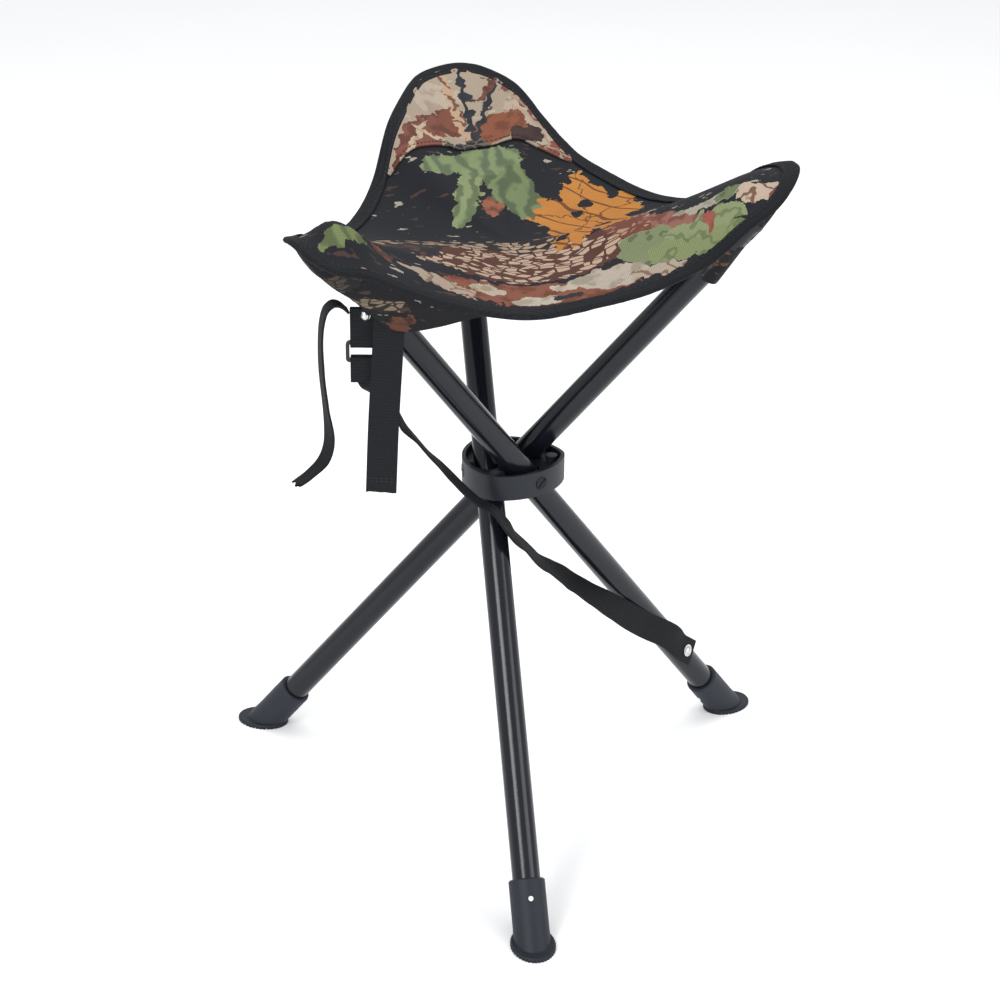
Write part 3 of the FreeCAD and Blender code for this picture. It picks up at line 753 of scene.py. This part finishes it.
def woven_black(name, dark, light, pitch, rib_way, rough):
    """Black polypropylene weave: dull, with ribs, a little lint, and painted shade in the hollows
    between threads and ribs.
    """
    made, tree = new_material(name)
    uv = cloth_place(tree)
    weave = cloth_weave(tree, uv, pitch)
    rib = bands(tree, rib_way, uv, WAVE_LONG / (pitch * 1.5))
    height = maths(tree, "ADD", weave, rib)
    speck = between(tree, clouds(tree, uv, 700, 2), 0.6, 0.8)
    # Lint specks, and painted shade: the colour lighter on the threads' and ribs' tops, darker in
    # the hollows.
    lint_and_thread_shade = maths(tree, "MULTIPLY_ADD", height, 0.35, speck)
    colour = mixed(tree, lint_and_thread_shade, linear(dark), linear(light))
    bump = bumped(tree, height, 0.5, 0.0004)
    look = {"Base Color": colour, "Roughness": rough, "Specular IOR Level": 0.2, "Normal": bump}
    finish_material(tree, look)
    return made


def moulded(name, dark, light, grit, rough, strength, gleam=0.3):
    """Moulded plastic or rubber: a fine grain, and faint clouds in colour and shine."""
    made, tree = new_material(name)
    place = own_place(tree)
    grains = clouds(tree, place, 1 / grit, 2)
    cloud = clouds(tree, place, 55, 4)
    colour = mixed(tree, cloud, linear(dark), linear(light))
    shine = scaled_to(tree, cloud, rough - 0.07, rough + 0.07)
    bump = bumped(tree, grains, strength, 0.0003)
    look = {"Base Color": colour, "Roughness": shine, "Specular IOR Level": gleam, "Normal": bump}
    finish_material(tree, look)
    return made


def tube_paint():
    """Powder-coated steel tube: gloss black with orange peel and fine rubbed specks."""
    made, tree = new_material("powder_coated_tube")
    place = own_place(tree)
    peel = clouds(tree, place, 260, 1)
    cloud = clouds(tree, place, 24, 5)
    worn = between(tree, clouds(tree, place, 900, 2), 0.68, 0.8)
    colour = mixed(tree, cloud, linear("#0d0f15"), linear("#14171f"))
    colour = mixed(tree, worn, colour, linear("#2b3039"))
    shine = scaled_to(tree, cloud, 0.14, 0.22)
    bump = bumped(tree, peel, 0.08, 0.0004)
    look = {"Base Color": colour, "Roughness": shine, "Specular IOR Level": 0.32, "Normal": bump}
    finish_material(tree, look)
    return made


def plated(name, code, other, rough):
    """Plated steel: bright metal with a brushed grain and faint dulling."""
    made, tree = new_material(name)
    place = own_place(tree)
    long = add(tree, "ShaderNodeMapping", None, {"Vector": place, "Scale": (300, 300, 2500)})
    grain = clouds(tree, long, 1.0, 2)
    dull = clouds(tree, place, 350, 3)
    shine = scaled_to(tree, dull, rough - 0.08, rough + 0.12)
    bump = bumped(tree, grain, 0.1, 0.0001)
    colour = mixed(tree, dull, linear(code), linear(other))
    look = {"Base Color": colour, "Metallic": 1.0, "Roughness": shine, "Normal": bump}
    finish_material(tree, look)
    return made


def finish_nodes(made, *nodes):
    """Gives carried-over solids their finish."""
    for name in nodes:
        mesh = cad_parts[name].data
        mesh.materials.clear()
        mesh.materials.append(made)


# --- sizes and colours a user would change -------------------------------------------


class StoolSizes(bpy.types.PropertyGroup):
    """Sizes of the soft parts."""

    web_wide: FloatProperty(
        name="Webbing width",
        description="Width of the straps",
        default=0.02,
        unit="LENGTH",
        min=0.01,
    )
    tail_wide: FloatProperty(
        name="Tail width",
        description="Width of the loose tail",
        default=0.012,
        unit="LENGTH",
        min=0.004,
    )


class StoolColours(bpy.types.PropertyGroup):
    """Colours of the stage."""

    floor: FloatVectorProperty(
        name="Floor",
        description="Colour of the floor",
        subtype="COLOR",
        size=4,
        default=linear("#f4f5f6"),
    )
    sky: FloatVectorProperty(
        name="Surround",
        description="Colour of the room's light",
        subtype="COLOR",
        size=4,
        default=linear("#fdfeff"),
    )


def sizes():
    return bpy.context.scene.stool_sizes


# --- operators -----------------------------------------------------------------------


class StoolFrame(bpy.types.Operator):
    """Gives the tubes, hub, boots and pins their finishes"""

    bl_idname = "stool.frame"
    bl_label = "Finish the frame"

    def execute(self, context):
        finish_nodes(tube_paint(), *(f"leg_tube_{leg}" for leg in LEGS))
        # Glass-filled nylon hub: charcoal, satin, with the mould's fine grain
        nylon = moulded("moulded_nylon_hub", "#15181e", "#1c2027", 0.0006, 0.46, 0.25)
        finish_nodes(nylon, "hub_body")
        # Soft rubber boots: matt, slightly blue charcoal, and a little dusty
        boots = moulded("moulded_rubber_boot", "#161a21", "#20252e", 0.0009, 0.55, 0.3)
        finish_nodes(boots, *(f"foot_boot_{leg}" for leg in LEGS))
        plugs = moulded("moulded_plug", "#17181a", "#1f2022", 0.0008, 0.5, 0.2)
        finish_nodes(plugs, *(f"tube_plug_{leg}" for leg in LEGS))
        pins = moulded("moulded_white_pin", "#dcdcd8", "#f0f0ee", 0.0005, 0.35, 0.1)
        finish_nodes(pins, *(f"boot_pin_{leg}" for leg in LEGS))
        zinc = plated("black_zinc_steel", "#24262a", "#35373c", 0.45)
        finish_nodes(zinc, "pivot_pins", "pivot_washers")
        nickel = plated("nickel_plated_rivet", "#e4e4e2", "#a9a9ab", 0.24)
        finish_nodes(nickel, "strap_rivet", "lower_rivet", "lower_washer")
        ring = moulded("coated_wire_ring", "#1b1c1f", "#25272b", 0.0005, 0.3, 0.1)
        finish_nodes(ring, "strap_ring")
        return {"FINISHED"}


class StoolSeat(bpy.types.Operator):
    """Lays the printed seat cloth, in three parts, one round each leg's corner"""

    bl_idname = "stool.seat"
    bl_label = "Seat cloth"

    def execute(self, context):
        printed = printed_oxford("printed_oxford", "#171922", "#b5ad9d", PRINT_SHAPES, leaf=True)
        back = coated_back()
        for leg in LEGS:

            def place(u, v):
                turn = third_turn(leg, u)
                share = math.sin(v * math.pi / 2) * 0.35 + v * 0.65
                part = share * cloth_part(turn, BINDING_WIDE - 5)
                return metres(seat_point(turn, part)), cloth_uv(turn, part)

            bm = net(72, 48, place)
            cloth = piece(f"seat_cloth_{leg}", bm, [printed, back], thick=CLOTH * MM)
            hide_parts("seat_panel")
            to_leg(cloth)
        return {"FINISHED"}


class StoolCorner(bpy.types.Operator):
    """Lays the rear corner's own panel, with its seam and stitches"""

    bl_idname = "stool.corner"
    bl_label = "Rear corner panel"

    def execute(self, context):
        middle = CORNER_TURN["c"]
        half = 37.0
        printed = printed_oxford("printed_oxford_corner", "#b5a490", "#c9bba9", CORNER_SHAPES)

        def place(u, v):
            turn = middle - half + 2 * half * u
            low = seam_part(turn)
            high = max(cloth_part(turn, BINDING_WIDE - 5), low + 0.001)
            part = low + (high - low) * v
            lift = CLOTH / 2 + 0.75 + 0.5 * math.exp(-v * 14)
            return metres(seat_point(turn, part, lift)), cloth_uv(turn, part)

        panel = piece("seat_corner_cloth", net(60, 30, place), [printed], thick=1.0 * MM)
        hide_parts("seat_corner_panel")
        to_leg(panel)
        spots = []
        turn = middle - half + 2
        while turn < middle + half - 2:
            ends = ((t, seam_part(t) + SEAM_STITCH_OUT) for t in (turn, turn + AHEAD))
            spot, ahead = (seat_point(t, part, CLOTH / 2 + 1.7) for t, part in ends)
            step = ahead - spot
            spots.append((spot, step.normalized(), seat_normal(turn, seam_part(turn))))
            turn += AHEAD * SEAM_PITCH / step.length
        thread = moulded("polyester_thread", "#1d1d20", "#2b2b2f", 0.0003, 0.6, 0.3)
        row = stitch_row("seam_stitches", spots, thread)
        to_leg(row)
        return {"FINISHED"}


class StoolBinding(bpy.types.Operator):
    """Folds binding tape over the seat's edge, and stitches it"""

    bl_idname = "stool.binding"
    bl_label = "Edge binding"

    def execute(self, context):
        tape = woven_black("woven_binding_tape", "#0b0c0f", "#1c1e24", 0.0012, "DIAGONAL", 0.8)
        thread = bpy.data.materials["polyester_thread"]
        stands = {"a": "edge_binding_left", "b": "edge_binding_front", "c": "edge_binding_right"}
        for leg in LEGS:

            def place(u, v):
                turn = third_turn(leg, u)
                side = 2 * v - 1
                far = abs(side)
                inset = BINDING_WIDE * max(0.0, far - TAPE_FOLD / 2) / (1 - TAPE_FOLD / 2)
                lift = (CLOTH / 2 + TAPE / 2 + TAPE_GAP) * max(-1.0, min(1.0, side / TAPE_FOLD))
                around = seat_reach(turn) * math.radians(turn)
                lift += 0.3 * noise.noise(Vector((around / 7, side * 2, leg_seed(leg))))
                inset += 0.5 * noise.noise(Vector((around / 11, 4.0, leg_seed(leg)))) * far
                out = 0.6 * max(0.0, 1 - far / TAPE_FOLD)
                part = cloth_part(turn, inset - out)
                spot = seat_middle(turn, min(part, 1.0)) + seat_normal(turn, part) * lift
                spot += turned(turn) * max(0.0, out - inset)
                return metres(spot), (around * MM, side * BINDING_WIDE * MM)

            bm = net(150, 16, place)
            edge = piece(f"binding_{leg}", bm, [tape], thick=TAPE * MM, bevel=0.2 * MM)
            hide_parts(stands[leg])
            to_leg(edge)
            high = CLOTH / 2 + TAPE + 0.45
            for face, lift in (("top", high), ("under", -high)):
                spots = edge_stitches(leg, BINDING_WIDE - 1.8, lift)
                row = stitch_row(f"binding_stitches_{face}_{leg}", spots, thread)
                to_leg(row)
        return {"FINISHED"}


def leg_seed(leg):
    """Where in the noise a corner's ripples are read, so that no two corners match."""
    return {"a": 1.3, "b": 5.9, "c": 9.4}[leg]


class StoolPockets(bpy.types.Operator):
    """Sews a pocket under each corner, round the end of its tube"""

    bl_idname = "stool.pockets"
    bl_label = "Corner pockets"

    def execute(self, context):
        printed = printed_oxford("printed_oxford_pocket", "#17171b", "#a09a8a", POCKET_SHAPES)
        back = bpy.data.materials["coated_oxford_back"]
        for leg in LEGS:
            bm = net(44, 36, pocket_place(leg), facing=(0, 0, -1))
            pocket = piece(f"pocket_cloth_{leg}", bm, [printed, back], thick=1.1 * MM)
            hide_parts(f"corner_pocket_{leg}")
            to_leg(pocket)
        return {"FINISHED"}


POCKET_SHAPES = (
    (-30, 20, 26, 9, 30, "#6d4f40", "#2b2626", "fleck"),
    (24, 34, 20, 8, -24, "#8a7a66", "#2c2724", "fleck"),
    (10, 64, 26, 9, 12, "#54483d", "#26242a", "fleck"),
    (-14, 84, 12, 6, -30, "#86735f", "#463a33", "grain"),
    (30, 8, 16, 7, 40, "#6b3f30", "#3a2925", "mottle"),
)
# Degrees from its corner at which each pocket's hem meets the seat's edge
POCKET_ENDS = {"a": (-17.0, 37.0), "b": (-17.0, 17.0), "c": (-17.0, 17.0)}
# Leg a's pocket hem, from the tube's far side, over the tab and the closing strap
HEM_A = (
    (-116.5, -72.0, 158.0),
    (-115.0, -94.5, 162.5),
    (-106.0, -101.5, 156.0),
    (-96.0, -103.5, 148.0),
    (-82.0, -105.5, 146.0),
    (-64.0, -109.0, 149.5),
    (-50.0, -111.5, 153.5),
)
HEM_STATION = 204.0  # place of the other two hems along their legs
POCKET_CLEAR = 12.6  # a tube's line to their cloth
EDGE_IN = 0.985  # share of the way out at which pockets are sewn to the seat
EDGE_UNDER = CLOTH + 0.6  # how far under the seat they meet it


def pocket_hem(leg):
    """A pocket's hem as a route, from one side of its corner to the other."""
    first, last = (CORNER_TURN[leg] + past for past in POCKET_ENDS[leg])
    inner = HEM_A
    if leg != "a":
        inner = [leg_line(leg, HEM_STATION, POCKET_CLEAR, turn) for turn in (-75, -35, 0, 35, 75)]
    ends = [seat_point(turn, EDGE_IN, -EDGE_UNDER) for turn in (first, last)]
    return [(spot, (0, 0, 1)) for spot in (ends[0], *inner, ends[1])]


def edge_near(leg, far, side):
    """The seat's edge on one side of a corner, at a level distance back from its tip."""
    middle = CORNER_TURN[leg]
    want = seat_reach(middle) - far
    past = 0.0
    while past < 50 and seat_reach(middle + past * side) * math.cos(math.radians(past)) > want:
        past += 0.25
    return seat_point(middle + past * side, EDGE_IN, -EDGE_UNDER)


def pocket_place(leg):
    """Lays a pocket: from a blunt tip, round under the tube, to its hem."""
    middle = CORNER_TURN[leg]
    tip = seat_point(middle, EDGE_IN, -CLOTH - 1.2)
    route = pocket_hem(leg)
    axis = (on_route(route, 0.5)[0] - tip).normalized()

    def spread(reach, keep):
        """A hem point drawn in to the tip, slower in width than in length."""
        along = reach.dot(axis)
        return tip + axis * along * keep + (reach - axis * along) * keep**0.5

    def place(u, v):
        keep = 1 - v
        side = 2 * u - 1
        reach = on_route(route, u)[0] - tip
        spot = spread(reach, keep)
        if abs(side) > 0.4:
            way = 1 if side > 0 else -1
            end = on_route(route, max(0, way))[0] - tip
            edge = edge_near(leg, -end.dot(turned(middle)) * keep, way)
            spot += (edge - spread(end, keep)) * ((abs(side) - 0.4) / 0.6) ** 3
        spot += ripple(leg, side, keep)
        return metres(spot), (side * 0.085 * keep**0.6, v * 0.1)

    return place


def ripple(leg, side, keep):
    """Loose folds of a pocket's cloth, deepest at its hem."""
    wave = noise.noise(Vector((side * 3.1, keep * 1.2, leg_seed(leg))))
    belly = 4.0 * math.sin(math.pi * min(1.0, keep * 1.6)) if keep < 0.625 else 0.0
    return Vector((0, 0, -1)) * (abs(wave) * 3.0 * keep * (1 - keep) + belly) * (1 - abs(side) ** 3)


class StoolStraps(bpy.types.Operator):
    """Hangs the webbing along leg a: tab, carrying strap, tail and closing strap"""

    bl_idname = "stool.straps"
    bl_label = "Straps"

    def execute(self, context):
        web = woven_black("woven_webbing", "#0a0b0e", "#191b21", 0.0014, "Y", 0.72)
        thread = bpy.data.materials["polyester_thread"]
        wide = sizes().web_wide / MM
        tail = sizes().tail_wide / MM
        rows = (
            ("tab_webbing", "strap_tab", TAB_ROUTE, wide, 70, 0.0),
            ("carry_webbing", "carry_strap", CARRY_ROUTE, wide, 260, 0.0),
            ("tail_webbing", "strap_tail", TAIL_ROUTE, tail, 120, 5.0),
            ("closure_webbing", "closure_strap", CLOSURE_ROUTE, wide, 90, 0.8),
        )
        for name, node, route, width, steps, ragged in rows:
            strap = strip(name, route, width, steps, web, ragged)
            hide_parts(node)
            long = route_length(route) * MM
            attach(strap, "leg_a")
        spots = web_stitches(TAB_ROUTE, 0.27, wide - 3, 3, -1)
        spots += web_stitches(CARRY_ROUTE, 0.012, wide - 3, 2, 1)
        spots += web_stitches(CLOSURE_ROUTE, 0.93, wide - 3, 2, 1)
        row = stitch_row("webbing_stitches", spots, thread)
        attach(row, "leg_a")
        return {"FINISHED"}


class StoolStage(bpy.types.Operator):
    """Sets a pale floor, soft lights and the camera"""

    bl_idname = "stool.stage"
    bl_label = "Stage"

    def execute(self, context):
        colours = context.scene.stool_colours
        bm = bmesh.new()
        bmesh.ops.create_grid(bm, x_segments=2, y_segments=2, size=25.0)
        made, tree = new_material("pale_floor")
        cloud = clouds(tree, own_place(tree), 2.0, 2)
        colour = mixed(tree, cloud, list(colours.floor), linear("#f8f9fa"))
        finish_material(tree, {"Base Color": colour, "Roughness": 0.9})
        floor = piece("floor", bm, [made])
        world = bpy.data.worlds.new("studio")
        context.scene.world = world
        world.use_nodes = True
        back = world.node_tree.nodes["Background"]
        back.inputs["Color"].default_value = list(colours.sky)
        back.inputs["Strength"].default_value = 0.85
        lamps = (
            ("key", (-1.4, -1.6, 1.9), (0.9, 0.9), 26),
            ("fill", (1.8, -1.3, 1.2), (0.9, 1.2), 12),
            ("top", (0.2, 0.5, 2.2), (1.6, 1.2), 22),
            ("strip_left", (-0.9, -1.5, 0.45), (0.05, 1.0), 6),
            ("strip_right", (0.75, -1.5, 0.5), (0.05, 0.9), 2.5),
        )
        for name, spot, size, power in lamps:
            light = bpy.data.lights.new(name, "AREA")
            light.shape = "RECTANGLE"
            light.size, light.size_y = size
            light.energy = power
            lamp = bpy.data.objects.new(name, light)
            lamp.location = spot
            away = Vector(spot) - Vector((0, 0, 0.25))
            lamp.rotation_euler = away.to_track_quat("Z", "Y").to_euler()
            context.scene.collection.objects.link(lamp)
        add_camera(context.scene)
        context.scene.view_settings.view_transform = "Standard"
        return {"FINISHED"}


def add_camera(scene):
    """A long lens at the viewing angle, level but for a slight roll."""
    turn, rise, roll = (math.radians(v) for v in (CAMERA_TURN, CAMERA_RISE, CAMERA_ROLL))
    level = Vector((math.sin(turn), -math.cos(turn), 0))
    back = level * math.cos(rise) + Vector((0, 0, math.sin(rise)))
    right = Vector((0, 0, 1)).cross(back).normalized()
    up = back.cross(right)
    rolled = right * math.cos(roll) + up * math.sin(roll)
    upright = up * math.cos(roll) - right * math.sin(roll)
    data = bpy.data.cameras.new("camera")
    data.lens = LENS
    data.sensor_width = 36.0
    data.clip_start = 0.1
    data.clip_end = 30.0
    camera = bpy.data.objects.new("camera", data)
    matrix = Matrix((rolled, upright, back)).transposed().to_4x4()
    matrix.translation = Vector(CAMERA_AIM) + back * CAMERA_FAR
    camera.matrix_world = matrix
    scene.collection.objects.link(camera)
    scene.camera = camera


class StoolPanel(bpy.types.Panel):
    """Lists the stool's sizes, colours and steps"""

    bl_idname = "VIEW3D_PT_stool"
    bl_label = "Folding stool"
    bl_space_type = "VIEW_3D"
    bl_region_type = "UI"
    bl_category = "Stool"

    def draw(self, context):
        column = self.layout.column()
        for group in (context.scene.stool_sizes, context.scene.stool_colours):
            for name in group.__annotations__:
                column.prop(group, name)
        for step in STEPS:
            column.operator(step.bl_idname)


STEPS = (StoolFrame, StoolSeat, StoolCorner, StoolBinding, StoolPockets, StoolStraps, StoolStage)
CLASSES = (StoolSizes, StoolColours, *STEPS, StoolPanel)


def register():
    for made in CLASSES:
        bpy.utils.register_class(made)
    bpy.types.Scene.stool_sizes = PointerProperty(type=StoolSizes)
    bpy.types.Scene.stool_colours = PointerProperty(type=StoolColours)


def unregister():
    del bpy.types.Scene.stool_colours
    del bpy.types.Scene.stool_sizes
    for made in reversed(CLASSES):
        bpy.utils.unregister_class(made)


def main():
    register()
    bpy.ops.stool.frame()
    bpy.ops.stool.seat()
    bpy.ops.stool.corner()
    bpy.ops.stool.binding()
    bpy.ops.stool.pockets()
    bpy.ops.stool.straps()
    bpy.ops.stool.stage()


if __name__ == "__main__":
    main()
